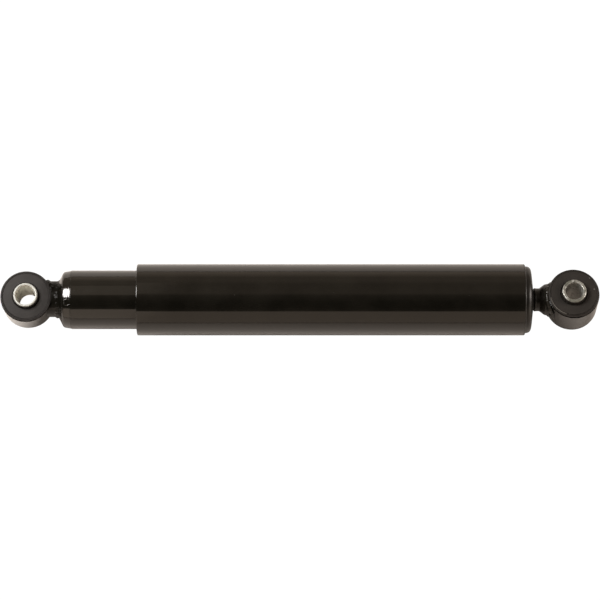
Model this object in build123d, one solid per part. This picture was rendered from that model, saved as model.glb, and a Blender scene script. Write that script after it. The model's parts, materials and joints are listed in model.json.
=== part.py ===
from build123d import *
import os

os.makedirs("parts", exist_ok=True)

# Twin-tube shock absorber of a truck, in millimetres. X runs along the damper from the lower eye to the
# upper eye, Z is the axis of the lower eye's bolt, and the origin is the centre of the lower eye. The
# damper stands nearly closed, so it can close by closing_travel and open by the rest of its stroke.

# Length and eyes
eye_distance = 558.0
closing_travel = 8.0
eye_roll = 9.3  # degrees that the upper eye is turned about the damper's axis
ring_od = 52.6
ring_wall = 4.5
ring_width = 33.0
flange_d = 52.2
flange_thickness = 3.0
sleeve_od = 24.9
sleeve_length = 52.0
lower_bore_d = 20.2
upper_bore_d = 18.3

# Base of the cylinder
foot_height = 5.9
foot_r = 18.6
cap_cone_length = 4.6
cap_knee_length = 1.6  # bevel between the cone and the band
cap_knee_drop = 1.4  # radial
cap_band_length = 7.1
cap_band_taper = 1.2  # radial, from the knee to the edge of the reservoir tube
cap_spigot_length = 6.0
cap_spigot_wall = 3.5
cap_floor_thickness = 6.8

# Tubes
reservoir_od = 60.0
reservoir_wall = 2.0
reservoir_lip_r = 22.0
pressure_bore = 40.0
pressure_wall = 1.5
cover_gap = 5.0  # radial, between the reservoir and the dust cover
cover_wall = 1.5
cover_length = 396.2
cover_edge = 0.6

# Top of the rod
stem_d = 23.6
stem_length = 7.0
stem_flare_length = 9.0
stem_flare_r = 18.3
stem_reach = 14.3  # from the upper ring to the face of the dust cap
dust_cap_wall = 2.2
dust_cap_dome = 2.8
dust_cap_round = 2.6
dust_cap_rim_length = 4.6
dust_cap_skirt_length = 10.0
dust_cap_to_reservoir = 3.0  # left between them when the damper is closed

# Rod and piston
rod_d = 20.0
spigot_d = 14.0
piston_height = 20.0
piston_groove_depth = 1.7
piston_ring_width = 8.0
rebound_port_d = 3.4
rebound_port_pitch_r = 10.2
rebound_port_count = 3
intake_port_d = 5.0
intake_port_pitch_r = 15.3
intake_port_count = 4
rebound_discs_thickness = 2.4
rebound_discs_r = 12.4
check_plate_thickness = 0.8
check_plate_r = 18.3
check_lift = 1.0
check_spring_height = 2.0
check_spring_width = 4.0
check_stop_thickness = 3.0
check_stop_r = 12.4
nut_height = 10.0
nut_across_flats = 22.0
bumper_height = 12.0
bumper_r = 16.5

# Foot valve
valve_leg_height = 5.0
valve_leg_count = 4
valve_slot_width = 12.0
valve_plate_thickness = 4.5
valve_spigot_height = 7.5
valve_skirt_wall = 3.1
valve_bolt_d = 8.0
valve_bolt_head_r = 7.0
valve_bolt_head_height = 4.0
valve_nut_across_flats = 13.0
valve_nut_height = 5.0
valve_discs_thickness = 1.8
valve_discs_r = 10.8
valve_port_d = 3.0
valve_port_pitch_r = 7.6
valve_port_count = 3
closing_gap = 1.0  # between the piston nut and the foot valve's bolt when the damper is closed

# Rod guide and seal
guide_spigot_length = 12.0
guide_flange_thickness = 10.0
guide_bush_wall = 1.5
guide_bush_length = 18.0
guide_drain_r = 2.5
guide_drain_count = 3
seal_thickness = 5.0
seal_plate_thickness = 1.0
seal_plate_gap = 0.5  # radial, between the plate and the rod

# Clearances
running = 0.05  # radial, where one piece slides or turns in another
skirt_gap = 0.4  # between the valve or guide and the reservoir's wall
plate_gap = 0.6  # between a lifting plate's bore and what it is guided on

# Radii that follow from the sizes above
ring_r = ring_od / 2
bush_r = ring_r - ring_wall
sleeve_r = sleeve_od / 2
reservoir_r = reservoir_od / 2
reservoir_bore_r = reservoir_r - reservoir_wall
pressure_bore_r = pressure_bore / 2
pressure_r = pressure_bore_r + pressure_wall
cover_bore_r = reservoir_r + cover_gap
cover_r = cover_bore_r + cover_wall
rod_r = rod_d / 2
spigot_r = spigot_d / 2
valve_bolt_r = valve_bolt_d / 2
piston_r = pressure_bore_r - 6 * running
groove_r = piston_r - piston_groove_depth

# Places along X, from the lower eye up
cap_floor_x = ring_r + foot_height
cap_knee_x = cap_floor_x + cap_cone_length
cap_band_x = cap_knee_x + cap_knee_length
cap_rim_x = cap_band_x + cap_band_length
valve_seat_x = cap_rim_x + cap_spigot_length
valve_plate_x = valve_seat_x + valve_leg_height
pressure_start_x = valve_plate_x + valve_plate_thickness
valve_top_x = pressure_start_x + valve_spigot_height
valve_check_top_x = valve_top_x + check_plate_thickness
valve_head_x = valve_check_top_x + check_lift + check_spring_height + running

# Places along X of what moves with the rod
nut_x = valve_head_x + valve_bolt_head_height + closing_gap + closing_travel
discs_x = nut_x + nut_height
piston_x = discs_x + rebound_discs_thickness
piston_top_x = piston_x + piston_height
check_top_x = piston_top_x + check_plate_thickness
check_stop_x = check_top_x + check_lift + check_spring_height + running
rod_shoulder_x = check_stop_x + check_stop_thickness
bumper_top_x = rod_shoulder_x + bumper_height
cap_face_x = eye_distance - ring_r - stem_reach
cap_dome_x = cap_face_x - dust_cap_dome
cap_corner_x = cap_dome_x - dust_cap_round
cover_end_x = cap_corner_x - dust_cap_rim_length + cover_wall
mouth_x = cover_end_x - cover_length

# Places along X of the cylinder's top, which the dust cap just clears when the damper is closed
reservoir_top_x = cap_dome_x - dust_cap_wall - dust_cap_to_reservoir - closing_travel
seal_top_x = reservoir_top_x - reservoir_wall
seal_plate_x = seal_top_x - seal_plate_thickness
seal_x = seal_plate_x - seal_thickness
guide_flange_x = seal_x - guide_flange_thickness
guide_x = guide_flange_x - guide_spigot_length
opening_travel = guide_x - bumper_top_x - 0.5


def turned(*outline):
    """Solid turned about X from a closed outline of (x, radius) points."""
    return revolve(make_face(Polyline(*outline, close=True)), Axis.X)


def turned_upright(*outline):
    """Solid turned about Z from a closed outline of (radius, z) points."""
    return revolve(Plane.XZ * make_face(Polyline(*outline, close=True)), Axis.Z)


def disc(start, thickness, inner_r, outer_r):
    """Flat ring, tube or washer about X."""
    end = start + thickness
    return turned((start, inner_r), (end, inner_r), (end, outer_r), (start, outer_r))


def upright_tube(inner_r, outer_r, length):
    """Tube about Z, centred on the origin."""
    return Cylinder(outer_r, length) - Cylinder(inner_r, length)


def hexagon_nut(start, height, across_flats, bore_r):
    """Hexagon nut about X."""
    profile = RegularPolygon(across_flats / 2, 6, major_radius=False) - Circle(bore_r)
    return Pos(X=start) * (Rot(Y=90) * extrude(profile, height))


def ports(start, length, pitch_r, port_d, count):
    """Round holes along X, evenly spaced on one circle."""
    hole = Pos(start + length / 2, 0, pitch_r) * (Rot(Y=90) * Cylinder(port_d / 2, length))
    return [Rot(X=360 / count * turn) * hole for turn in range(count)]


def at_upper_eye(piece):
    """The piece moved from the lower eye's frame to the upper eye, with that eye's roll."""
    return Pos(X=eye_distance) * (Rot(X=-eye_roll) * piece)


def eye_envelope():
    """Round room that a ring takes, used to cope what is welded to it."""
    return Cylinder(ring_r, 2 * reservoir_od)


def eye_ring():
    """Short steel tube that holds the bush."""
    return upright_tube(bush_r, ring_r, ring_width)


def rubber_bush():
    """Rubber bush that fills the ring and has a flange over each of its ends."""
    bore_r = sleeve_r + running
    flange_r = flange_d / 2
    seat_z = ring_width / 2
    face_z = seat_z + flange_thickness
    return turned_upright(
        (bore_r, -face_z), (flange_r, -face_z), (flange_r, -seat_z), (bush_r, -seat_z),
        (bush_r, seat_z), (flange_r, seat_z), (flange_r, face_z), (bore_r, face_z),
    )


def base_cap():
    """Base with its foot coped to the ring, a cone, a tapered band, and a spigot in the reservoir tube."""
    bore_r = reservoir_bore_r - cap_spigot_wall
    floor_x = cap_floor_x + cap_floor_thickness
    band_r = reservoir_r - cap_band_taper
    body = turned(
        (ring_r / 2, 0), (ring_r / 2, foot_r), (cap_floor_x, foot_r),
        (cap_knee_x, band_r - cap_knee_drop), (cap_band_x, band_r), (cap_rim_x, reservoir_r),
        (cap_rim_x, reservoir_bore_r), (valve_seat_x, reservoir_bore_r), (valve_seat_x, bore_r),
        (floor_x, bore_r), (floor_x, 0),
    )
    return body - eye_envelope()


def reservoir_tube():
    """Outer tube, its top end rolled in over the seal plate."""
    lip_x = reservoir_top_x - reservoir_wall
    return turned(
        (cap_rim_x, reservoir_bore_r), (lip_x, reservoir_bore_r), (lip_x, reservoir_lip_r),
        (reservoir_top_x, reservoir_lip_r), (reservoir_top_x, reservoir_bore_r),
        (lip_x, reservoir_r), (cap_rim_x, reservoir_r),
    )


def foot_valve_body():
    """Valve body on castellated legs, its spigot inside the pressure tube."""
    skirt_r = reservoir_bore_r - skirt_gap
    skirt_bore_r = skirt_r - valve_skirt_wall
    body = turned(
        (valve_seat_x, skirt_bore_r), (valve_seat_x, skirt_r), (pressure_start_x, skirt_r),
        (pressure_start_x, pressure_bore_r), (valve_top_x, pressure_bore_r),
        (valve_top_x, valve_bolt_r), (valve_plate_x, valve_bolt_r), (valve_plate_x, skirt_bore_r),
    )
    slot_depth = skirt_r - pressure_r
    slot = Pos((valve_seat_x + pressure_start_x) / 2, 0, pressure_r + slot_depth / 2) * Box(
        pressure_start_x - valve_seat_x, valve_slot_width, slot_depth
    )
    body -= [Rot(X=360 / valve_leg_count * turn) * slot for turn in range(valve_leg_count)]
    depth = valve_top_x - valve_plate_x
    body -= ports(valve_plate_x, depth, intake_port_pitch_r, intake_port_d, intake_port_count)
    body -= ports(valve_plate_x, depth, valve_port_pitch_r, valve_port_d, valve_port_count)
    return body


def foot_valve_bolt():
    """Bolt through the foot valve, its head above the check plate's spring."""
    end_x = valve_plate_x - valve_discs_thickness - valve_nut_height
    return turned(
        (end_x, 0), (end_x, valve_bolt_r), (valve_head_x, valve_bolt_r),
        (valve_head_x, valve_bolt_head_r), (valve_head_x + valve_bolt_head_height, valve_bolt_head_r),
        (valve_head_x + valve_bolt_head_height, 0),
    )


def check_plate(seat_x, port_pitch_r, port_d, outer_r):
    """Flat ring that covers the outer ports of a valve and lifts off them."""
    inner_r = port_pitch_r - port_d / 2 - plate_gap
    return disc(seat_x, check_plate_thickness, inner_r, outer_r)


def check_spring(seat_x, hub_r, reach_r):
    """Star spring on a check plate: a hexagonal hub with three sloping fingers that bear on the plate."""
    blade = check_plate_thickness / 2
    hub_x = seat_x + check_spring_height - blade
    rim_r = hub_r + check_spring_width / 2
    hub = RegularPolygon(rim_r, 6, major_radius=False) - RegularPolygon(hub_r, 6, major_radius=False)
    hub = Pos(X=hub_x) * (Rot(Y=90) * extrude(hub, blade))
    root_r = (hub_r + rim_r) / 2
    finger = make_face(Polyline(
        (hub_x, root_r), (hub_x + blade, root_r), (seat_x + blade, reach_r), (seat_x, reach_r), close=True
    ))
    finger = extrude(finger, check_spring_width / 2, both=True)
    return hub + [Rot(X=360 / 3 * turn) * finger for turn in range(3)]


def piston():
    """Drilled piston with a groove for its sealing band."""
    groove_width = piston_ring_width + 2 * running
    groove_x = piston_x + (piston_height - groove_width) / 2
    body = turned(
        (piston_x, spigot_r), (piston_x, piston_r), (groove_x, piston_r), (groove_x, groove_r),
        (groove_x + groove_width, groove_r), (groove_x + groove_width, piston_r),
        (piston_top_x, piston_r), (piston_top_x, spigot_r),
    )
    body -= ports(piston_x, piston_height, intake_port_pitch_r, intake_port_d, intake_port_count)
    body -= ports(piston_x, piston_height, rebound_port_pitch_r, rebound_port_d, rebound_port_count)
    return body


def piston_ring():
    """Sealing band that runs in the pressure tube and lets the piston turn inside it."""
    start = piston_x + (piston_height - piston_ring_width) / 2
    return disc(start, piston_ring_width, groove_r + running, pressure_bore_r - running)


def piston_rod():
    """Polished rod, stepped down to a spigot that carries the piston."""
    return turned(
        (nut_x, 0), (nut_x, spigot_r), (rod_shoulder_x, spigot_r), (rod_shoulder_x, rod_r),
        (cap_face_x, rod_r), (cap_face_x, 0),
    )


def rod_guide():
    """Guide that closes the pressure tube with its spigot and the reservoir with its flange."""
    bore_r = rod_r + running + guide_bush_wall
    flange_r = reservoir_bore_r - running
    body = turned(
        (guide_x, bore_r), (guide_x, pressure_bore_r), (guide_flange_x, pressure_bore_r),
        (guide_flange_x, flange_r), (seal_x, flange_r), (seal_x, bore_r),
    )
    return body - ports(
        guide_flange_x, guide_flange_thickness, flange_r, 2 * guide_drain_r, guide_drain_count
    )


def dust_cap():
    """Dished cap on the rod, its rim inside the dust cover's rolled end."""
    skirt_bore_r = cover_bore_r - dust_cap_wall
    rim_r = cover_bore_r - cover_edge
    rim_x = cap_corner_x - dust_cap_rim_length
    skirt_x = rim_x - dust_cap_skirt_length
    inner_x = cap_dome_x - dust_cap_wall
    return turned(
        (cap_face_x, rod_r), (cap_face_x, stem_d / 2), (cap_dome_x, rim_r - dust_cap_round),
        (cap_corner_x, rim_r), (rim_x, rim_r), (rim_x, cover_bore_r), (skirt_x, cover_bore_r),
        (skirt_x, skirt_bore_r), (inner_x, skirt_bore_r), (inner_x, rod_r),
    )


def dust_cover():
    """Cover tube, its upper end rolled in over the dust cap's shoulder and its mouth edge rounded."""
    rim_r = cover_bore_r - cover_edge
    lip_x = cover_end_x - cover_wall
    return turned(
        (mouth_x, cover_bore_r), (mouth_x, cover_r - cover_edge), (mouth_x + cover_edge, cover_r),
        (cover_end_x - cover_edge, cover_r), (cover_end_x, cover_r - cover_edge), (cover_end_x, rim_r),
        (lip_x, rim_r), (lip_x, cover_bore_r),
    )


def upper_eye_stem():
    """Short stem on the rod's end that flares into the weld and is coped to the upper ring."""
    flare_x = cap_face_x + stem_length
    full_x = flare_x + stem_flare_length
    body = turned(
        (cap_face_x, 0), (cap_face_x, stem_d / 2), (flare_x, stem_d / 2), (full_x, stem_flare_r),
        (eye_distance - ring_r / 2, stem_flare_r), (eye_distance - ring_r / 2, 0),
    )
    return body - at_upper_eye(eye_envelope())


nodes = {
    "lower_eye_ring": eye_ring(),
    "lower_bush": rubber_bush(),
    "lower_sleeve": upright_tube(lower_bore_d / 2, sleeve_r, sleeve_length),
    "base_cap": base_cap(),
    "reservoir_tube": reservoir_tube(),
    "pressure_tube": disc(
        pressure_start_x, guide_flange_x - pressure_start_x, pressure_bore_r, pressure_r
    ),
    "foot_valve_body": foot_valve_body(),
    "foot_valve_discs": disc(
        valve_plate_x - valve_discs_thickness, valve_discs_thickness, valve_bolt_r, valve_discs_r
    ),
    "foot_valve_bolt": foot_valve_bolt(),
    "foot_valve_nut": hexagon_nut(
        valve_plate_x - valve_discs_thickness - valve_nut_height, valve_nut_height,
        valve_nut_across_flats, valve_bolt_r,
    ),
    "foot_check_plate": check_plate(valve_top_x, intake_port_pitch_r, intake_port_d, check_plate_r),
    "foot_check_spring": check_spring(
        valve_check_top_x, valve_bolt_r + plate_gap, intake_port_pitch_r
    ),
    "piston_rod": piston_rod(),
    "piston_nut": hexagon_nut(nut_x, nut_height, nut_across_flats, spigot_r),
    "rebound_discs": disc(discs_x, rebound_discs_thickness, spigot_r, rebound_discs_r),
    "piston": piston(),
    "piston_ring": piston_ring(),
    "piston_check_plate": check_plate(
        piston_top_x, intake_port_pitch_r, intake_port_d, check_plate_r
    ),
    "piston_check_spring": check_spring(check_top_x, spigot_r + plate_gap, intake_port_pitch_r),
    "check_stop": disc(check_stop_x, check_stop_thickness, spigot_r, check_stop_r),
    "rebound_bumper": disc(rod_shoulder_x, bumper_height, rod_r, bumper_r),
    "rod_guide": rod_guide(),
    "guide_bush": disc(
        seal_x - guide_bush_length, guide_bush_length, rod_r + running, rod_r + running + guide_bush_wall
    ),
    "rod_seal": disc(seal_x, seal_thickness, rod_r + running, reservoir_bore_r),
    "seal_plate": disc(seal_plate_x, seal_plate_thickness, rod_r + seal_plate_gap, reservoir_bore_r),
    "dust_cap": dust_cap(),
    "dust_cover": dust_cover(),
    "upper_eye_stem": upper_eye_stem(),
    "upper_eye_ring": at_upper_eye(eye_ring()),
    "upper_bush": at_upper_eye(rubber_bush()),
    "upper_sleeve": at_upper_eye(upright_tube(upper_bore_d / 2, sleeve_r, sleeve_length)),
}

for name, solid in nodes.items():
    export_step(solid, f"parts/{name}.step")

print(f"closes by {closing_travel:.1f} mm and opens by {opening_travel:.1f} mm")
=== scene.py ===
import json
import math
import random

import bpy
from mathutils import Matrix, Vector


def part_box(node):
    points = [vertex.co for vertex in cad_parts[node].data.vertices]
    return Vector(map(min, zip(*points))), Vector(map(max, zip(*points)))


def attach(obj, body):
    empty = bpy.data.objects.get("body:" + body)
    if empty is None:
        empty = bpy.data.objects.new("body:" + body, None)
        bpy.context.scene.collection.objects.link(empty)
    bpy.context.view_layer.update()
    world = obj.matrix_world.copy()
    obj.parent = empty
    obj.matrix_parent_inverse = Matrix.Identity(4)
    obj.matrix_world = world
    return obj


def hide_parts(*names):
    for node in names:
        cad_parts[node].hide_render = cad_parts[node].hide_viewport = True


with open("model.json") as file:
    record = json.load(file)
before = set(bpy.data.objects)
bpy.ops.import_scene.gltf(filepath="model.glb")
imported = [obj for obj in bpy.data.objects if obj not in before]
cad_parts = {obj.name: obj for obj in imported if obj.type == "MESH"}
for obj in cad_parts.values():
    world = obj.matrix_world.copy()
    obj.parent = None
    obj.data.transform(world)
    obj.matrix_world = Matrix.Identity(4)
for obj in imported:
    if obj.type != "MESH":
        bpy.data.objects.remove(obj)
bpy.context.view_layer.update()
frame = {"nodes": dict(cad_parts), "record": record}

# Outer pieces and finishes of a truck's twin-tube shock absorber. Pieces are sized in millimetres and
# made in metres. Finishes, lights and the camera are in metres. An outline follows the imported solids
# as a list of (radius, place along the turning axis, round of the corner).

MM = 0.001
SEGMENTS = 128  # facets round a turned piece
ROUND_STEP = 18  # degrees of a rounded corner that one facet takes
SUPPORT = 0.35  # mm from a round to the ring of points that keeps the flat beside it flat
SMOOTH_ANGLE = 40  # degrees under which neighbouring faces shade as one


def in_mm(node):
    """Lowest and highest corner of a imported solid, in millimetres."""
    low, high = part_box(node)
    return low / MM, high / MM


def mount(name):
    """The record's mount of that name."""
    return next(m for m in frame["record"]["mounts"] if m["name"] == name)


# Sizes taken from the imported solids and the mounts, in millimetres
ring_high = in_mm("lower_eye_ring")[1]
bush_high = in_mm("lower_bush")[1]
sleeve_high = in_mm("lower_sleeve")[1]
tube_low, tube_high = in_mm("reservoir_tube")
cover_low, cover_high = in_mm("dust_cover")
lid_low, lid_high = in_mm("dust_cap")
cap_end = in_mm("base_cap")[1].x
cap_seat, tube_end, tube_r = tube_low.x, tube_high.x, tube_high.z
cover_mouth, cover_end, cover_r = cover_low.x, cover_high.x, cover_high.z
lid_start, lid_face = lid_low.x, lid_high.x
ring_r, ring_z = ring_high.x, ring_high.z
flange_r, flange_z = bush_high.x, bush_high.z
sleeve_r, sleeve_z = sleeve_high.x, sleeve_high.z
lower_bore_r = mount("lower_eye")["dims"]["r_mm"]
upper_bore_r = mount("upper_eye")["dims"]["r_mm"]
upper_axis = mount("upper_eye")["axis"]
eye_distance = mount("upper_eye")["pos_m"][0] / MM
eye_roll = math.atan2(upper_axis[1], upper_axis[2])

# Walls that the boxes don't show, in millimetres
RING_WALL = 4.5
TUBE_WALL = 2.0
TUBE_LIP_R = 22.0  # hole in the tube's rolled-in top
COVER_WALL = 1.5
COVER_ROLL = 2.1  # how far the cover's end is rolled in
LID_WALL = 2.2
LID_RIM_R = 34.1
LID_DROP = 2.9  # how much lower the dish is at its rim than at its middle
STEM_R = 11.7
SEAT_GAP = 0.05


# Helpers for making a piece


def deselect():
    """Object mode with nothing selected."""
    if bpy.context.object and bpy.context.object.mode != "OBJECT":
        bpy.ops.object.mode_set(mode="OBJECT")
    bpy.ops.object.select_all(action="DESELECT")


def pick(piece):
    """Selects one piece alone and makes it the active one."""
    deselect()
    piece.select_set(True)
    bpy.context.view_layer.objects.active = piece


def settle(piece):
    """Moves the piece's place into its mesh, so that its object sits at the origin."""
    pick(piece)
    bpy.ops.object.transform_apply(location=True, rotation=True, scale=True)


def smooth(piece):
    """Smooth shading across gentle turns, with real corners kept."""
    pick(piece)
    bpy.ops.object.shade_smooth_by_angle(angle=math.radians(SMOOTH_ANGLE))


def apply_modifier(piece, kind, **settings):
    """Adds one modifier with its settings and applies it."""
    pick(piece)
    modifier = piece.modifiers.new(kind.lower(), kind)
    for key, value in settings.items():
        setattr(modifier, key, value)
    bpy.ops.object.modifier_apply(modifier=modifier.name)


def start_on_faces(piece, test):
    """Edit mode with only the faces selected that pass a test."""
    pick(piece)
    bpy.ops.object.mode_set(mode="EDIT")
    bpy.ops.mesh.select_mode(type="FACE")
    bpy.ops.mesh.select_all(action="DESELECT")
    bpy.ops.object.mode_set(mode="OBJECT")
    for face in piece.data.polygons:
        face.select = test(face)
    bpy.ops.object.mode_set(mode="EDIT")


def end_on_faces():
    """Back to object mode, with points as what edit mode selects next."""
    bpy.ops.mesh.select_mode(type="VERT")
    bpy.ops.object.mode_set(mode="OBJECT")


def rounded(*corners):
    """Outline points from (radius, height, round) corners: an arc between two support points at each."""
    points = []
    for index, (radius, height, size) in enumerate(corners):
        corner = Vector((radius, height))
        before = Vector(corners[index - 1][:2]) - corner
        after = Vector(corners[(index + 1) % len(corners)][:2]) - corner
        if not size:
            points.append(corner)
            continue
        half = before.angle(after) / 2
        reach = size / math.tan(half)
        before, after = before.normalized(), after.normalized()
        centre = corner + (before + after).normalized() * (size / math.sin(half))
        start, end = corner + before * reach - centre, corner + after * reach - centre
        turn = math.pi - 2 * half
        steps = max(2, math.ceil(math.degrees(turn) / ROUND_STEP))
        points.append(corner + before * (reach + SUPPORT))
        for step in range(steps + 1):
            share = step / steps
            spoke = start * math.sin((1 - share) * turn) + end * math.sin(share * turn)
            points.append(centre + spoke / math.sin(turn))
        points.append(corner + after * (reach + SUPPORT))
    return points


def both_ends(near):
    """Outline of a piece whose far end mirrors its near one."""
    far = [(radius, -height, size) for radius, height, size in reversed(near)]
    return rounded(*near, *far)


def turned(name, outline):
    """Closed piece turned about Z: a circle extruded and resized from one point to the next."""
    deselect()
    radius, height = outline[0]
    bpy.ops.mesh.primitive_circle_add(
        vertices=SEGMENTS, radius=radius * MM, location=(0, 0, height * MM)
    )
    piece = bpy.context.object
    piece.name = piece.data.name = name
    settle(piece)
    bpy.ops.object.mode_set(mode="EDIT")
    bpy.ops.mesh.select_all(action="SELECT")
    for next_radius, next_height in outline[1:]:
        step = (0, 0, (next_height - height) * MM)
        bpy.ops.mesh.extrude_region_move(TRANSFORM_OT_translate={"value": step})
        share = next_radius / radius
        bpy.ops.transform.resize(value=(share, share, 1), center_override=(0, 0, 0))
        radius, height = next_radius, next_height
    bpy.ops.mesh.select_all(action="DESELECT")
    bpy.ops.mesh.select_non_manifold()
    bpy.ops.mesh.bridge_edge_loops()
    bpy.ops.mesh.select_all(action="SELECT")
    bpy.ops.mesh.normals_make_consistent(inside=False)
    bpy.ops.object.mode_set(mode="OBJECT")
    return piece


def turned_along(name, outline):
    """The same, laid along the damper: heights become places along X."""
    piece = turned(name, outline)
    piece.rotation_euler = (0, math.pi / 2, 0)
    settle(piece)
    return piece


def to_upper_eye(piece):
    """Moves a piece made at the lower eye to the upper one, with that eye's roll."""
    place = Matrix.Translation((eye_distance * MM, 0, 0))
    piece.matrix_world = place @ Matrix.Rotation(-eye_roll, 4, "X")
    settle(piece)


def finish_piece(piece, body, slot, material, *stands_for):
    """Material, smooth shading, body and the solids that the piece stands for; the slot argument is not
    used.
    """
    piece.data.materials.clear()
    piece.data.materials.append(material)
    smooth(piece)
    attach(piece, body)
    if stands_for:
        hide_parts(*stands_for)
    return piece


def faces_where(piece, test):
    """Numbers of the faces that pass a test."""
    return [face.index for face in piece.data.polygons if test(face)]


def paint_faces(piece, faces, material):
    """Second material on some faces of a finished piece."""
    piece.data.materials.append(material)
    for index in faces:
        piece.data.polygons[index].material_index = len(piece.data.materials) - 1


# Shader groups, which hold what several finishes share

FLOAT, COLOUR = "NodeSocketFloat", "NodeSocketColor"


def new_group(name, inputs, outputs):
    """Empty shader group with named sockets. Inputs are (name, kind, default)."""
    group = bpy.data.node_groups.new(name, "ShaderNodeTree")
    for socket, kind, default in inputs:
        made = group.interface.new_socket(socket, in_out="INPUT", socket_type=kind)
        made.default_value = default
    for socket, kind in outputs:
        group.interface.new_socket(socket, in_out="OUTPUT", socket_type=kind)
    return group, group.nodes.new("NodeGroupInput"), group.nodes.new("NodeGroupOutput")


def add(tree, kind, **values):
    """New node. Keys that name an input set it, the others set the node itself."""
    node = tree.nodes.new(kind)
    for key, value in values.items():
        socket = key.replace("_", " ")
        if socket in node.inputs:
            node.inputs[socket].default_value = value
        else:
            setattr(node, key, value)
    return node


def maths(tree, operation, first, second):
    """Result of one step of maths on two sockets."""
    node = add(tree, "ShaderNodeMath", operation=operation)
    tree.links.new(first, node.inputs[0])
    tree.links.new(second, node.inputs[1])
    return node.outputs["Value"]


def object_noise(tree, scale_socket=None, stretch=(1, 1, 1), **values):
    """Noise on Object coordinates, stretched as given."""
    place = add(tree, "ShaderNodeTexCoord")
    mapping = add(tree, "ShaderNodeMapping", Scale=stretch)
    noise = add(tree, "ShaderNodeTexNoise", **values)
    tree.links.new(place.outputs["Object"], mapping.inputs["Vector"])
    tree.links.new(mapping.outputs["Vector"], noise.inputs["Vector"])
    if scale_socket:
        tree.links.new(scale_socket, noise.inputs["Scale"])
    return noise.outputs["Fac"]


def make_tone_group():
    """Cloudy change from one colour to another."""
    group, given, out = new_group(
        "cloudy_tone",
        [("Scale", FLOAT, 60), ("Low", COLOUR, (0, 0, 0, 1)), ("High", COLOUR, (1, 1, 1, 1))],
        [("Color", COLOUR), ("Mask", FLOAT)],
    )
    noise = object_noise(group, given.outputs["Scale"], Detail=5, Roughness=0.6)
    spread = add(group, "ShaderNodeMapRange", From_Min=0.32, From_Max=0.68)
    mix = add(group, "ShaderNodeMix", data_type="RGBA")
    group.links.new(noise, spread.inputs["Value"])
    group.links.new(spread.outputs["Result"], mix.inputs["Factor"])
    group.links.new(given.outputs["Low"], mix.inputs["A"])
    group.links.new(given.outputs["High"], mix.inputs["B"])
    group.links.new(mix.outputs["Result"], out.inputs["Color"])
    group.links.new(spread.outputs["Result"], out.inputs["Mask"])
    return group


def make_speck_group():
    """Sparse round specks, such as dust nibs under paint or lint on rubber."""
    group, given, out = new_group(
        "specks",
        [("Scale", FLOAT, 300), ("Size", FLOAT, 0.12), ("Share", FLOAT, 0.2)],
        [("Mask", FLOAT)],
    )
    place = add(group, "ShaderNodeTexCoord")
    cells = add(group, "ShaderNodeTexVoronoi")
    split = add(group, "ShaderNodeSeparateColor")
    group.links.new(place.outputs["Object"], cells.inputs["Vector"])
    group.links.new(given.outputs["Scale"], cells.inputs["Scale"])
    group.links.new(cells.outputs["Color"], split.inputs["Color"])
    near = maths(group, "LESS_THAN", cells.outputs["Distance"], given.outputs["Size"])
    chosen = maths(group, "LESS_THAN", split.outputs["Red"], given.outputs["Share"])
    group.links.new(maths(group, "MULTIPLY", near, chosen), out.inputs["Mask"])
    return group


def make_relief_group():
    """Height of a skin: broad waves, fine grain, streaks along the damper and rings round it."""
    group, given, out = new_group(
        "skin_relief",
        [("Wave", FLOAT, 1), ("Wave Scale", FLOAT, 40), ("Grain", FLOAT, 1),
         ("Grain Scale", FLOAT, 900), ("Streak", FLOAT, 0), ("Ring", FLOAT, 0)],
        [("Height", FLOAT)],
    )
    along, round_it = (4, 260, 260), (480, 40, 40)
    noises = {
        "Wave": object_noise(group, given.outputs["Wave Scale"], Detail=2),
        "Grain": object_noise(group, given.outputs["Grain Scale"], Detail=4),
        "Streak": object_noise(group, stretch=along, Scale=1, Detail=3),
        "Ring": object_noise(group, stretch=round_it, Scale=1, Detail=3),
    }
    total = None
    for name, noise in noises.items():
        part = maths(group, "MULTIPLY", noise, given.outputs[name])
        total = maths(group, "ADD", total, part) if total else part
    group.links.new(total, out.inputs["Height"])
    return group


tone_group = make_tone_group()
speck_group = make_speck_group()
relief_group = make_relief_group()


def set_inputs(node, values):
    """Sets inputs by name, with an underscore for each space."""
    for key, value in values.items():
        node.inputs[key.replace("_", " ")].default_value = value


def placed_group(tree, group, **values):
    """One use of a shared group, with its own values."""
    node = tree.nodes.new("ShaderNodeGroup")
    node.node_tree = group
    set_inputs(node, values)
    return node


def new_material(name, **shader_values):
    """Principled material and its tree and shader."""
    material = bpy.data.materials.new(name)
    material.use_nodes = True
    tree = material.node_tree
    shader = tree.nodes["Principled BSDF"]
    set_inputs(shader, shader_values)
    return material, tree, shader


def wire_tone(tree, shader, low, high, scale, mask=None, over=None):
    """Cloudy base colour between two, with a third over it where a mask says so. Returns the clouds."""
    tone = placed_group(tree, tone_group, Scale=scale, Low=(*low, 1), High=(*high, 1))
    colour = tone.outputs["Color"]
    if mask:
        mix = add(tree, "ShaderNodeMix", data_type="RGBA", B=(*over, 1))
        tree.links.new(mask, mix.inputs["Factor"])
        tree.links.new(colour, mix.inputs["A"])
        colour = mix.outputs["Result"]
    tree.links.new(colour, shader.inputs["Base Color"])
    return tone.outputs["Mask"]


def wire_roughness(tree, shader, mask, rough, spread):
    """Roughness from a value up, by a mask."""
    between = add(tree, "ShaderNodeMapRange", To_Min=rough, To_Max=rough + spread)
    tree.links.new(mask, between.inputs["Value"])
    tree.links.new(between.outputs["Result"], shader.inputs["Roughness"])


def wire_relief(tree, shader, depth, values, raised=None):
    """Bump of a depth in metres from the shared relief, with a mask of raised spots added."""
    height = placed_group(tree, relief_group, **values).outputs["Height"]
    if raised:
        height = maths(tree, "ADD", height, raised)
    bump = add(tree, "ShaderNodeBump", Distance=depth)
    tree.links.new(height, bump.inputs["Height"])
    tree.links.new(bump.outputs["Normal"], shader.inputs["Normal"])


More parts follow.
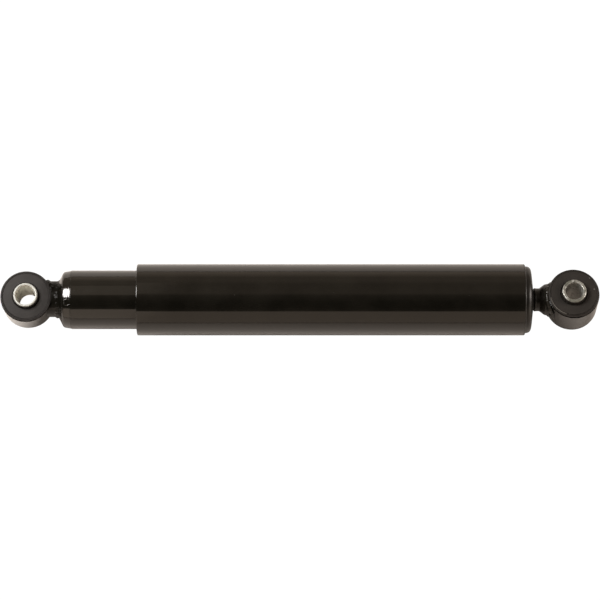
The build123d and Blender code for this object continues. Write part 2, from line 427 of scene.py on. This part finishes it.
# Finishes. Each has its colours, how deep its relief is in metres, and how far its roughness varies.

PAINT_DARK, PAINT_PALE = (0.0024, 0.0021, 0.0015), (0.0042, 0.0036, 0.0026)
PAINT_DEPTH, PAINT_SPREAD = 0.00004, 0.045
LINT = (0.12, 0.115, 0.1)
RUBBER_DEPTH, RUBBER_ROUGH, RUBBER_SPREAD = 0.00012, 0.6, 0.12
HANDLED_ZINC = (0.09, 0.085, 0.065)
ZINC_RELIEF = {"Wave": 0.3, "Wave_Scale": 300, "Grain": 0.1, "Grain_Scale": 1800}
ZINC_DEPTH, BORE_DEPTH, ZINC_SPREAD = 0.00008, 0.000016, 0.12
INNER_DEPTH, INNER_SPREAD = 0.0001, 0.1


def gloss_paint(name, waviness, rough=0.075, gloss=0.5, streak=0.0, ring=0.0, wave_scale=90, dust=1.0):
    """Thin gloss black, a little brown, with orange peel, the metal's drawing marks and a few nibs."""
    material, tree, shader = new_material(
        name, Specular_Tint=(1.0, 0.95, 0.9, 1), Specular_IOR_Level=gloss
    )
    low = [level * dust for level in PAINT_DARK]
    high = [level * dust for level in PAINT_PALE]
    clouds = wire_tone(tree, shader, low, high, scale=35)
    wire_roughness(tree, shader, clouds, rough, PAINT_SPREAD)
    peel = {
        "Wave": waviness, "Wave_Scale": wave_scale, "Grain": 0.03, "Grain_Scale": 700,
        "Streak": streak, "Ring": ring,
    }
    nibs = placed_group(tree, speck_group, Scale=160, Size=0.06, Share=0.1)
    wire_relief(tree, shader, PAINT_DEPTH, peel, nibs.outputs["Mask"])
    return material


def bush_rubber(name, low, high, sheen, specks=0.0):
    """Moulded rubber with a matt bloom, flow marks and a share of lint."""
    material, tree, shader = new_material(
        name, Specular_Tint=(1.0, 0.93, 0.88, 1), Specular_IOR_Level=sheen
    )
    lint = placed_group(tree, speck_group, Scale=230, Size=0.13, Share=specks)
    clouds = wire_tone(tree, shader, low, high, 70, lint.outputs["Mask"], LINT)
    wire_roughness(tree, shader, clouds, RUBBER_ROUGH, RUBBER_SPREAD)
    flow = {"Wave": 0.6, "Wave_Scale": 160, "Grain": 0.2, "Grain_Scale": 1500}
    wire_relief(tree, shader, RUBBER_DEPTH, flow)
    return material


def zinc_plate(name, low, high, rough, dark_patches, metallic, dents=1.0):
    """Zinc plating over turned steel, cloudy, with darker scuffs where it has been handled."""
    material, tree, shader = new_material(name, Metallic=metallic)
    dirt = object_noise(tree, Scale=420, Detail=4, Roughness=0.65)
    clean, dirty = 0.62 - dark_patches, 0.68 - dark_patches
    edge = add(tree, "ShaderNodeMapRange", From_Min=clean, From_Max=dirty)
    tree.links.new(dirt, edge.inputs["Value"])
    clouds = wire_tone(tree, shader, low, high, 220, edge.outputs["Result"], HANDLED_ZINC)
    wire_roughness(tree, shader, clouds, rough, ZINC_SPREAD)
    wire_relief(tree, shader, ZINC_DEPTH * dents, ZINC_RELIEF)
    return material


def bore_plating_painted_shade(name, painted_shade_colour, clean, rough):
    """Plating down the lower bore, with painted shade: darker on the bore's -X side and lighter on its
    +X side, as light falls into it.
    """
    reach, cloudiness = lower_bore_r * MM, 0.3
    material, tree, shader = new_material(name)
    place = add(tree, "ShaderNodeTexCoord")
    split = add(tree, "ShaderNodeSeparateXYZ")
    across = add(tree, "ShaderNodeMapRange", From_Min=-reach, From_Max=reach, To_Min=-0.1)
    cloud = object_noise(tree, Scale=220, Detail=3)
    drift = add(tree, "ShaderNodeMath", operation="MULTIPLY_ADD")
    drift.inputs[1].default_value = cloudiness
    # Painted shade: the shaded colour on the bore's -X side and the lit colour, given as clean, on its
    # +X side, with a little cloudiness
    mix = add(tree, "ShaderNodeMix", data_type="RGBA", A=(*painted_shade_colour, 1), B=(*clean, 1))
    tree.links.new(place.outputs["Object"], split.inputs["Vector"])
    tree.links.new(split.outputs["X"], across.inputs["Value"])
    tree.links.new(cloud, drift.inputs[0])
    tree.links.new(across.outputs["Result"], drift.inputs[2])
    tree.links.new(drift.outputs["Value"], mix.inputs["Factor"])
    tree.links.new(mix.outputs["Result"], shader.inputs["Base Color"])
    wire_roughness(tree, shader, cloud, rough, ZINC_SPREAD)
    wire_relief(tree, shader, BORE_DEPTH, ZINC_RELIEF)
    return material


def inner_finish(name, low, high, rough, grain, grain_scale, metallic=1.0):
    """Unpainted inner piece: cloudy colour and a grain of its own scale."""
    material, tree, shader = new_material(name, Metallic=metallic)
    clouds = wire_tone(tree, shader, low, high, scale=120)
    wire_roughness(tree, shader, clouds, rough, INNER_SPREAD)
    skin = {"Wave": 0.2, "Wave_Scale": 150, "Grain": grain, "Grain_Scale": grain_scale}
    wire_relief(tree, shader, INNER_DEPTH, skin)
    return material


tube_paint = gloss_paint("black_paint_on_tube", waviness=0.25, streak=0.12)
base_paint = gloss_paint("black_paint_on_base", waviness=1.2, rough=0.08, gloss=0.62, ring=5.0)
lid_paint = gloss_paint("black_paint_on_lid", waviness=0.9, rough=0.34, gloss=0.37)
stem_paint = gloss_paint("black_paint_on_stem", waviness=0.9, rough=0.27, gloss=0.25)
pip_paint = gloss_paint("black_paint_on_pip", waviness=0.4, rough=0.12, gloss=0.6)
ring_paints = {
    "lower": gloss_paint("black_paint_on_lower_ring", waviness=0.7, gloss=0.6),
    "upper": gloss_paint("black_paint_on_upper_ring", waviness=0.7, gloss=0.34),
}
weld_paints = {
    "lower": gloss_paint(
        "black_paint_on_lower_weld", waviness=1.3, wave_scale=260, rough=0.2, gloss=0.05
    ),
    "upper": gloss_paint(
        "black_paint_on_upper_weld", waviness=1.3, wave_scale=260, rough=0.3, gloss=0.26, dust=2.4
    ),
}
rubbers = {
    "lower": bush_rubber(
        "rubber_lower", low=(0.0078, 0.0066, 0.0057), high=(0.0162, 0.0141, 0.0126), sheen=0.2
    ),
    "upper": bush_rubber(
        "rubber_upper", low=(0.0074, 0.0059, 0.0045), high=(0.0124, 0.0101, 0.0080),
        sheen=0.16, specks=0.1,
    ),
}
# Painted highlight: lighter rubber on the lower-left arc of the upper bush's rim bead, where light
# catches it
rim_highlight_rubber = bush_rubber(
    "rubber_painted_rim_highlight", low=(0.045, 0.039, 0.032), high=(0.085, 0.075, 0.063), sheen=0.3
)
zincs = {
    "lower": zinc_plate(
        "zinc_lower", low=(0.195, 0.184, 0.158), high=(0.275, 0.262, 0.23),
        rough=0.36, dark_patches=0.0, metallic=0.15, dents=0.3,
    ),
    "upper": zinc_plate(
        "zinc_upper", low=(0.17, 0.158, 0.13), high=(0.37, 0.354, 0.32),
        rough=0.28, dark_patches=0.07, metallic=0.6,
    ),
}
# Darker zinc for two arcs of the upper sleeve's near end, one up and to the left and one at the bottom
darker_arc_zinc = zinc_plate(
    "zinc_darker_arcs", low=(0.05, 0.047, 0.036), high=(0.13, 0.124, 0.10),
    rough=0.34, dark_patches=0.1, metallic=0.4,
)
# Painted shade down the lower bore: the first colour darkens its -X side and the one given as clean
# lightens its +X side
bore_zinc_painted_shade = bore_plating_painted_shade(
    "zinc_in_lower_bore_painted_shade", painted_shade_colour=(0.27, 0.25, 0.20), clean=(0.84, 0.81, 0.73), rough=0.4
)
inner_finishes = {
    "chrome_rod": inner_finish(
        "polished_rod", (0.55, 0.56, 0.58), (0.66, 0.67, 0.69), rough=0.06, grain=0.02, grain_scale=900
    ),
    "plain_steel": inner_finish(
        "oiled_steel", (0.30, 0.29, 0.27), (0.42, 0.41, 0.39), rough=0.28, grain=0.3, grain_scale=1200
    ),
    "sintered_iron": inner_finish(
        "sintered_iron", (0.11, 0.105, 0.10), (0.19, 0.18, 0.17), rough=0.5, grain=1.5, grain_scale=2600
    ),
    "bearing_bronze": inner_finish(
        "bearing_bronze", (0.42, 0.25, 0.11), (0.55, 0.35, 0.17), rough=0.32, grain=0.4, grain_scale=1600
    ),
    "piston_band": inner_finish(
        "bronze_filled_band", (0.16, 0.09, 0.045), (0.22, 0.13, 0.07),
        rough=0.45, grain=0.2, grain_scale=900, metallic=0.0,
    ),
    "seal_rubber": inner_finish(
        "seal_rubber", (0.012, 0.012, 0.012), (0.022, 0.021, 0.02),
        rough=0.5, grain=0.4, grain_scale=1400, metallic=0.0,
    ),
}


# Eyes: ring, bush and sleeve are each modelled about Z at the lower eye


def eye_ring(name):
    """Length of steel tube with its cut edges taken off."""
    bore_r, edge = ring_r - RING_WALL, 0.4
    return turned(name, rounded(
        (bore_r, -ring_z, edge), (ring_r, -ring_z, edge), (ring_r, ring_z, edge), (bore_r, ring_z, edge),
    ))


def rubber_bush(name, lift, crown):
    """Moulded bush: collar up the sleeve, groove, crowned face, and a bead on a bevelled rim.

    The face stands out by lift round the sleeve and falls by crown to the rim.
    """
    lip_z, rim_z = flange_z + lift, flange_z - crown
    collar_r, collar_z = sleeve_r + 0.35, sleeve_z - 1.1
    groove_r, groove_z = 13.3, lip_z - 0.8
    lip_r, crown_r, crown_z = 13.9, 18.0, flange_z + lift / 2
    line_r, line_z = 23.5, rim_z - 0.4
    shoulder_r, shoulder_z = line_r - 0.35, rim_z + 0.05
    bead_r, bead_z = 24.2, rim_z + 0.14
    bead_end_r, bead_end_z = bead_r + 0.35, rim_z - 0.12
    bevel_z, under_r = rim_z - 0.8, flange_r - 0.9
    hub_r, seat_z = ring_r - RING_WALL, ring_z + SEAT_GAP
    return turned(name, both_ends([
        (sleeve_r + SEAT_GAP, collar_z, 0), (collar_r, collar_z, 0.1), (collar_r, groove_z, 0.1),
        (groove_r, groove_z, 0.2), (lip_r, lip_z, 0.4), (crown_r, crown_z, 3.5),
        (shoulder_r, shoulder_z, 0.1), (line_r, line_z, 0.1), (bead_r, bead_z, 0.12),
        (bead_end_r, bead_end_z, 0.1), (flange_r, bevel_z, 0.6), (under_r, seat_z, 0.2),
        (hub_r, seat_z, 0.3),
    ]))


def bolt_sleeve(name, bore_r, edge_round):
    """Plated sleeve with slightly tapered ends, and its bore's mouth and outer edge rounded."""
    taper, taper_length, bore_round = 0.5, 1.6, 0.6
    return turned(name, both_ends([
        (sleeve_r, sleeve_z - taper_length, 0), (sleeve_r - taper, sleeve_z, edge_round),
        (bore_r, sleeve_z, bore_round),
    ]))


def cut_teeth(sleeve, bore_r):
    """Teeth across both end faces, which bite into the bracket: every third facet is a gap."""
    depth, spacing = 0.06, 3
    middle_r, ring_reach, end_reach = (bore_r + sleeve_r) / 2, 0.6, 0.2
    for end in (-1, 1):
        def is_gap(face):
            spot = face.center
            on_end = abs(spot.z - end * sleeve_z * MM) < end_reach * MM
            on_ring = abs(spot.xy.length - middle_r * MM) < ring_reach * MM
            sector = int((math.atan2(spot.y, spot.x) + math.pi) / (2 * math.pi) * SEGMENTS)
            return on_end and on_ring and sector % spacing == 0

        start_on_faces(sleeve, is_gap)
        bpy.ops.mesh.extrude_region_move(
            TRANSFORM_OT_translate={"value": (0, 0, -end * depth * MM)}
        )
        end_on_faces()


def batter_rims(sleeve):
    """Uneven outer rims at both ends, as handling leaves them."""
    depth, noise_size, rim_height, rim_width = 0.24, 1.6, 1.5, 0.75
    chosen = [
        point.index for point in sleeve.data.vertices
        if abs(point.co.z) > (sleeve_z - rim_height) * MM
        and point.co.xy.length > (sleeve_r - rim_width) * MM
    ]
    sleeve.vertex_groups.new(name="rim").add(chosen, 1.0, "REPLACE")
    clouds = bpy.data.textures.new("rim_clouds", "CLOUDS")
    clouds.noise_scale = noise_size * MM
    apply_modifier(
        sleeve, "DISPLACE", texture=clouds, texture_coords="LOCAL", vertex_group="rim",
        strength=-depth * MM, mid_level=0.35,
    )


def in_lower_bore(face):
    """Whether a face of the lower sleeve is down its bore."""
    return face.center.xy.length < (lower_bore_r + 0.1) * MM


def on_near_end(low_r, high_r, low_z, *turns):
    """Test for a face of a piece's near end, between two radii and over ranges of degrees."""
    def test(face):
        spot = face.center
        turn = math.degrees(math.atan2(spot.y, spot.x)) % 360
        inside = low_r * MM < spot.xy.length < high_r * MM and spot.z > low_z * MM
        return inside and any(first < turn < last for first, last in turns)

    return test


# Welds: overlapping drops and the neck under them, fused and then smoothed

WELD_VOXEL = 0.5
WELD_CORE_R = 0.5  # fine hole down the middle of a turned neck, which stays hidden
WELD_RUN_Y = -11.0  # below this the paint has run into a smooth skin over the lower weld


def drops_round_ring(neck_r, shift_y, drop_r, spacing, side, seed):
    """Places and sizes of weld drops where a neck of that radius meets the eye ring."""
    edge_gap, stand_off = 1.2, 0.6
    stray, wander, smallest, largest = 0.2, 0.5, 0.82, 1.15
    high_z = ring_z - edge_gap
    chance = random.Random(seed)
    count = round(2 * math.pi * neck_r / spacing)
    drops = []
    for index in range(count):
        turn = 2 * math.pi * (index + chance.uniform(-stray, stray)) / count
        shift_x = chance.uniform(-wander, wander)
        y = neck_r * math.cos(turn) + shift_y
        z = max(-high_z, min(high_z, neck_r * math.sin(turn)))
        x = math.sqrt((ring_r + stand_off) ** 2 - y * y) + shift_x
        drops.append((Vector((side * x, y, z)), drop_r * chance.uniform(smallest, largest)))
    return drops


def drops_round_foot(bead_r, place_x, drop_r, spacing, seed):
    """Places and sizes of weld drops round the far end of a neck."""
    stray, wander, smallest, largest = 0.25, 0.6, 0.75, 1.15
    chance = random.Random(seed)
    count = round(2 * math.pi * bead_r / spacing)
    drops = []
    for index in range(count):
        turn = 2 * math.pi * (index + chance.uniform(-stray, stray)) / count
        x = place_x + chance.uniform(-wander, wander)
        place = Vector((x, bead_r * math.cos(turn), bead_r * math.sin(turn)))
        drops.append((place, drop_r * chance.uniform(smallest, largest)))
    return drops


def fused_weld(name, neck_outline, drops, eye_x, shift_y=0.0):
    """Neck and weld drops fused into one skin, smoothed, and cut back to the eye ring's wall."""
    overlap = 0.4
    neck = turned_along(name, neck_outline)
    neck.location.y = shift_y * MM
    settle(neck)
    pick(neck)
    bpy.ops.object.mode_set(mode="EDIT")
    for place, size in drops:
        bpy.ops.mesh.primitive_ico_sphere_add(
            subdivisions=3, radius=size * MM, location=(place + Vector((eye_x, 0, 0))) * MM
        )
    bpy.ops.object.mode_set(mode="OBJECT")
    apply_modifier(neck, "REMESH", mode="VOXEL", voxel_size=WELD_VOXEL * MM)
    apply_modifier(neck, "SMOOTH", factor=0.5, iterations=3)
    deselect()
    bpy.ops.mesh.primitive_cylinder_add(
        vertices=96, radius=(ring_r - overlap) * MM, depth=4 * ring_z * MM,
        location=(eye_x * MM, 0, 0),
    )
    cutter = bpy.context.object
    settle(cutter)
    apply_modifier(neck, "BOOLEAN", operation="DIFFERENCE", object=cutter, solver="EXACT")
    pick(cutter)
    bpy.ops.object.delete()
    return neck


def lower_weld():
    """Weld between the lower ring and the base, a little thicker towards +Y."""
    start, bend, root = 20.0, 31.4, 34.0
    neck_r, root_r = 18.4, 20.6
    outline = rounded(
        (WELD_CORE_R, start, 0), (neck_r, start, 0), (neck_r, bend, 1.2),
        (root_r, root, 0), (WELD_CORE_R, root, 0),
    )
    drops = drops_round_ring(neck_r=16.2, shift_y=1.8, drop_r=2.6, spacing=2.6, side=1, seed=4)
    drops += drops_round_foot(bead_r=17.0, place_x=31.2, drop_r=2.1, spacing=2.8, seed=7)
    return fused_weld("lower_weld", outline, drops, eye_x=0, shift_y=0.7)


def upper_weld():
    """Weld between the stem's flare and the upper ring."""
    start, flare, bend, root = 522.0, 524.0, 529.2, 540.0
    start_r, bend_r, root_r = STEM_R - 0.4, 15.6, 18.0
    outline = rounded(
        (WELD_CORE_R, start, 0), (start_r, start, 0), (STEM_R, flare, 0.8), (bend_r, bend, 2.0),
        (root_r, root, 0), (WELD_CORE_R, root, 0),
    )
    drops = drops_round_ring(neck_r=16.0, shift_y=-0.6, drop_r=2.8, spacing=2.6, side=-1, seed=9)
    return fused_weld("upper_weld", outline, drops, eye_x=eye_distance)


# Tubes and ends along the damper


def base_pressing():
    """Pressed base: cone, wide round knee and a slightly tapered skirt up to the tube's edge."""
    start, knee, seam = cap_seat - 14.5, cap_seat - 8.1, cap_seat - 0.1
    hole_r, foot_r, cone_r, knee_r = 12.0, 16.4, 18.9, 28.3
    skirt_r, bore_r, hollow_r = tube_r - 0.3, tube_r - TUBE_WALL, 24.5
    cone, hollow = start + 1.6, start + 8
    return turned_along("base_pressing", rounded(
        (hole_r, start, 0), (foot_r, start, 0), (cone_r, cone, 0.8), (knee_r, knee, 3.2),
        (skirt_r, seam, 0.2), (bore_r, seam, 0), (bore_r, cap_end, 0.3),
        (hollow_r, cap_end, 0.3), (hollow_r, hollow, 1.0), (hole_r, hollow, 0),
    ))


def base_pip():
    """Low round pip with a dished top in the base, left where the filling hole was closed."""
    pip_r, pip_height, lip, dish, edge = 3.7, 1.2, 0.8, 0.8, 0.35
    pip_x, seat_r, pip_turn = 42.4, 28.75, 16.3
    deselect()
    bpy.ops.mesh.primitive_cylinder_add(vertices=48, radius=pip_r * MM, depth=2 * pip_height * MM)
    piece = bpy.context.object
    piece.name = piece.data.name = "base_pip"
    start_on_faces(piece, lambda face: face.normal.z > 0.9)
    bpy.ops.mesh.inset(thickness=lip * MM)
    bpy.ops.mesh.extrude_region_move(TRANSFORM_OT_translate={"value": (0, 0, -dish * MM)})
    end_on_faces()
    apply_modifier(piece, "BEVEL", width=edge * MM, segments=5, limit_method="ANGLE")
    along = Matrix.Translation((pip_x * MM, 0, 0))
    out = Matrix.Translation((0, 0, seat_r * MM))
    piece.matrix_world = along @ Matrix.Rotation(math.radians(pip_turn), 4, "X") @ out
    settle(piece)
    return piece


def reservoir_shell():
    """Outer tube with its cut edge at the base and its top rolled in over the seal."""
    bore_r, under = tube_r - TUBE_WALL, tube_end - TUBE_WALL
    return turned_along("reservoir_shell", rounded(
        (bore_r, cap_seat, 0), (tube_r, cap_seat, 0.35), (tube_r, tube_end, 2.2),
        (TUBE_LIP_R, tube_end, 0.5), (TUBE_LIP_R, under, 0.3), (bore_r, under, 0.8),
    ))


def cover_tube():
    """Dust cover with a rounded mouth and its other end rolled in over the cap."""
    bore_r, roll_r, under = cover_r - COVER_WALL, cover_r - COVER_ROLL, cover_end - COVER_WALL
    return turned_along("cover_tube", rounded(
        (bore_r, cover_mouth, 0.4), (cover_r, cover_mouth, 0.9), (cover_r, cover_end, 1.3),
        (roll_r, cover_end, 0.3), (roll_r, under, 0), (bore_r, under, 0),
    ))


def cover_lid():
    """Dished cap on the rod with a wide round shoulder."""
    hub_r, inner_r, rim = 11.2, LID_RIM_R - LID_WALL, lid_face - LID_DROP
    return turned_along("cover_lid", rounded(
        (hub_r, lid_face, 0), (LID_RIM_R, rim, 4.4), (LID_RIM_R, lid_start, 0.3),
        (inner_r, lid_start, 0.3), (inner_r, rim - LID_WALL, 2.4), (hub_r, lid_face - LID_WALL, 0),
    ))


def stem_neck():
    """Stem between the dished cap and the weld, with the small weld bead at its foot."""
    foot, end = lid_face - 1.0, lid_face + 11.0
    bore_r, foot_r, under_bead_r, bead_r = 6.0, 10.7, 10.9, 12.0
    return turned_along("stem_neck", rounded(
        (bore_r, foot, 0), (foot_r, foot, 0), (under_bead_r, foot + 1.4, 0.2),
        (bead_r, foot + 2.6, 1.0), (STEM_R, foot + 4.4, 0.8), (STEM_R, end, 0),
        (bore_r, end, 0),
    ))


# Assembly


def build_eyes():
    """Both eyes. Faces for the bore's painted shade, the bush rim's painted highlight and the sleeve's
    darker arcs are chosen while a piece is still at the lower eye, and painted last.
    """
    domes = {"lower": {"lift": 0.9, "crown": 0.4}, "upper": {"lift": 0.3, "crown": 0.05}}
    sleeves = {
        "lower": bolt_sleeve("lower_sleeve_plated", lower_bore_r, edge_round=0.8),
        "upper": bolt_sleeve("upper_sleeve_plated", upper_bore_r, edge_round=0.9),
    }
    cut_teeth(sleeves["upper"], upper_bore_r)
    batter_rims(sleeves["upper"])
    end_z, bead_low_r, bead_high_r = sleeve_z - 1.2, 23.7, 24.7
    # Faces of the upper sleeve's near end on two arcs, which get the darker zinc
    dark_patches = on_near_end(upper_bore_r + 0.2, sleeve_r + 1, end_z, (105, 150), (238, 315))
    # Faces of the bush's rim bead on its lower-left arc, which get the painted highlight
    painted_highlight_arc = on_near_end(bead_low_r, bead_high_r, ring_z, (190, 250))
    marks = [
        (sleeves["upper"], faces_where(sleeves["upper"], dark_patches), darker_arc_zinc),
        (sleeves["lower"], faces_where(sleeves["lower"], in_lower_bore), bore_zinc_painted_shade),
    ]
    for eye, body in (("lower", "cylinder"), ("upper", "rod")):
        ring = eye_ring(f"{eye}_ring_painted")
        bush = rubber_bush(f"{eye}_bush_moulded", **domes[eye])
        if eye == "upper":
            marks.append((bush, faces_where(bush, painted_highlight_arc), rim_highlight_rubber))
            for piece in (ring, bush, sleeves[eye]):
                to_upper_eye(piece)
        finish_piece(ring, body, "black_paint", ring_paints[eye], f"{eye}_eye_ring")
        finish_piece(bush, body, "bush_rubber", rubbers[eye], f"{eye}_bush")
        finish_piece(sleeves[eye], f"{eye}_bolt_sleeve", "zinc_sleeve", zincs[eye], f"{eye}_sleeve")
    for piece, faces, material in marks:
        paint_faces(piece, faces, material)


def build_tubes():
    """Painted pieces between the eyes."""
    finish_piece(base_pressing(), "cylinder", "black_paint", base_paint, "base_cap")
    finish_piece(base_pip(), "cylinder", "black_paint", pip_paint)
    weld = finish_piece(lower_weld(), "cylinder", "black_paint", weld_paints["lower"])
    run = faces_where(weld, lambda face: face.center.y < WELD_RUN_Y * MM)
    paint_faces(weld, run, stem_paint)
    finish_piece(reservoir_shell(), "cylinder", "black_paint", tube_paint, "reservoir_tube")
    cover = finish_piece(cover_tube(), "rod", "black_paint", tube_paint, "dust_cover")
    roll = faces_where(cover, lambda face: face.center.x > (cover_end - COVER_WALL) * MM)
    paint_faces(cover, roll, lid_paint)
    finish_piece(cover_lid(), "rod", "black_paint", lid_paint, "dust_cap")
    finish_piece(stem_neck(), "rod", "black_paint", stem_paint, "upper_eye_stem")
    finish_piece(upper_weld(), "rod", "black_paint", weld_paints["upper"])


def finish_inner_pieces():
    """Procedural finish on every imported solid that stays."""
    slots = {part["node"]: part["material_slot"] for part in frame["record"]["subparts"]}
    for name, node in frame["nodes"].items():
        finish = inner_finishes.get(slots.get(name))
        if finish:
            node.data.materials.clear()
            node.data.materials.append(finish)


build_eyes()
build_tubes()
finish_inner_pieces()


# Camera, floor and studio light

CAMERA_ELEVATION = 78.7
CAMERA_DISTANCE = 2.97
CAMERA_LENS, CAMERA_SENSOR = 174, 36
AIM_X = 0.2791
AIM_DOWN = 0.00025
FLOOR_Z = -cover_r * MM - 0.0002
FLOOR_X, FLOOR_SIZE = 0.28, 12
FLOOR_GLOW, FLOOR_SEEN = 1.05, 0.97  # brightness that the camera sees, and its share

# Brightness of the studio from its near side, -1, to its far side, 1
STUDIO_TINT = (1.0, 0.83, 0.67)
STUDIO_LEVELS = [
    (-1.0, 0.08), (-0.68, 0.05), (-0.58, 0.008), (-0.3, 0.008), (-0.1, 0.06), (0.04, 0.1), (0.17, 0.27),
    (0.42, 0.26), (0.65, 0.25), (0.8, 0.38), (0.92, 0.36), (0.985, 0.66), (1.0, 0.8),
]

# Soft lights: centre, what it faces, width, height, radiance and colour
PANELS = {
    "key_softbox": ((-0.75, 0.46, 1.35), (0.04, 0, 0), 0.85, 0.77, 27, (0.96, 0.98, 1.0)),
    "low_card": ((0.28, -1.5, 0.655), (0.28, 0, 0.655), 4.5, 1.31, 0.58, (1.0, 0.84, 0.7)),
    "left_card": ((-0.47, -1.45, 0.65), (-0.47, 0, 0.65), 1.0, 1.3, 0.3, (1.0, 0.9, 0.8)),
    "upper_left_card": ((-0.5, 0.85, 1.5), (-0.5, 0.85, 0), 1.08, 1.3, 0.26, (1.0, 0.88, 0.74)),
    "right_fill": ((1.5, 0.16, 0.66), (0.52, 0, 0.03), 0.45, 0.9, 9.0, (1.0, 0.95, 0.92)),
    "right_front_card": ((1.45, -0.75, 0.6), (0.56, 0, 0), 0.7, 0.9, 1.9, (1.0, 0.9, 0.8)),
}


def make_camera():
    """Long lens, nearly overhead and tilted a little towards the lower edge of the picture."""
    lean = math.radians(CAMERA_ELEVATION)
    back = Vector((0, -math.cos(lean), math.sin(lean)))
    up = Vector((0, math.sin(lean), math.cos(lean)))
    data = bpy.data.cameras.new("camera")
    data.lens, data.sensor_width = CAMERA_LENS, CAMERA_SENSOR
    data.clip_start, data.clip_end = 0.1, 50
    camera = bpy.data.objects.new("camera", data)
    bpy.context.scene.collection.objects.link(camera)
    camera.location = Vector((AIM_X, 0, 0)) - up * AIM_DOWN + back * CAMERA_DISTANCE
    camera.rotation_euler = (-back).to_track_quat("-Z", "Y").to_euler()
    bpy.context.scene.camera = camera


def make_panel(name, centre, aim, width, height, radiance, colour):
    """Rectangular soft light. Its power is four times its area for each unit of radiance."""
    data = bpy.data.lights.new(name, "AREA")
    data.shape = "RECTANGLE"
    data.size, data.size_y = width, height
    data.energy = 4 * width * height * radiance
    data.color = colour
    lamp = bpy.data.objects.new(name, data)
    bpy.context.scene.collection.objects.link(lamp)
    lamp.location = centre
    lamp.rotation_euler = (Vector(aim) - Vector(centre)).to_track_quat("-Z", "Y").to_euler()
    lamp.visible_camera = False


def split_for_camera(tree, lit, seen, share, end):
    """Gives a share of what the camera sees to one shader, and all else to the other."""
    path = add(tree, "ShaderNodeLightPath")
    part = add(tree, "ShaderNodeMath", operation="MULTIPLY")
    part.inputs[1].default_value = share
    mix = add(tree, "ShaderNodeMixShader")
    tree.links.new(path.outputs["Is Camera Ray"], part.inputs[0])
    tree.links.new(part.outputs["Value"], mix.inputs[0])
    tree.links.new(lit, mix.inputs[1])
    tree.links.new(seen, mix.inputs[2])
    tree.links.new(mix.outputs["Shader"], end.inputs["Surface"])


def make_floor():
    """Pale table, which the camera sees as nearly white."""
    deselect()
    bpy.ops.mesh.primitive_plane_add(size=FLOOR_SIZE, location=(FLOOR_X, 0, FLOOR_Z))
    floor = bpy.context.object
    floor.name = "floor"
    material, tree, shader = new_material(
        "pale_table", Base_Color=(0.42, 0.375, 0.335, 1), Roughness=0.9,
        Emission_Color=(1.0, 0.93, 0.86, 1), Emission_Strength=0.1,
    )
    glow = add(tree, "ShaderNodeEmission", Color=(1, 1, 1, 1), Strength=FLOOR_GLOW)
    split_for_camera(
        tree, shader.outputs["BSDF"], glow.outputs["Emission"], FLOOR_SEEN,
        tree.nodes["Material Output"],
    )
    floor.data.materials.append(material)


def make_world():
    """Dark studio, lighter behind the table's far edge. The camera sees pale grey instead."""
    world = bpy.data.worlds.new("studio")
    bpy.context.scene.world = world
    world.use_nodes = True
    tree = world.node_tree
    studio = tree.nodes["Background"]
    place = add(tree, "ShaderNodeTexCoord")
    split = add(tree, "ShaderNodeSeparateXYZ")
    spread = add(tree, "ShaderNodeMapRange", From_Min=-1.0, From_Max=1.0)
    ramp = add(tree, "ShaderNodeValToRGB")
    stops = ramp.color_ramp.elements
    while len(stops) < len(STUDIO_LEVELS):
        stops.new(0.5)
    for stop, (place_y, level) in zip(stops, STUDIO_LEVELS):
        stop.position = (place_y + 1) / 2
        stop.color = (*(level * share for share in STUDIO_TINT), 1)
    tree.links.new(place.outputs["Generated"], split.inputs["Vector"])
    tree.links.new(split.outputs["Y"], spread.inputs["Value"])
    tree.links.new(spread.outputs["Result"], ramp.inputs["Fac"])
    tree.links.new(ramp.outputs["Color"], studio.inputs["Color"])
    seen = add(tree, "ShaderNodeBackground", Color=(0.93, 0.93, 0.93, 1))
    split_for_camera(
        tree, studio.outputs["Background"], seen.outputs["Background"], 1.0,
        tree.nodes["World Output"],
    )


make_camera()
make_floor()
make_world()
for panel, values in PANELS.items():
    make_panel(panel, *values)
bpy.context.scene.view_settings.view_transform = "Standard"
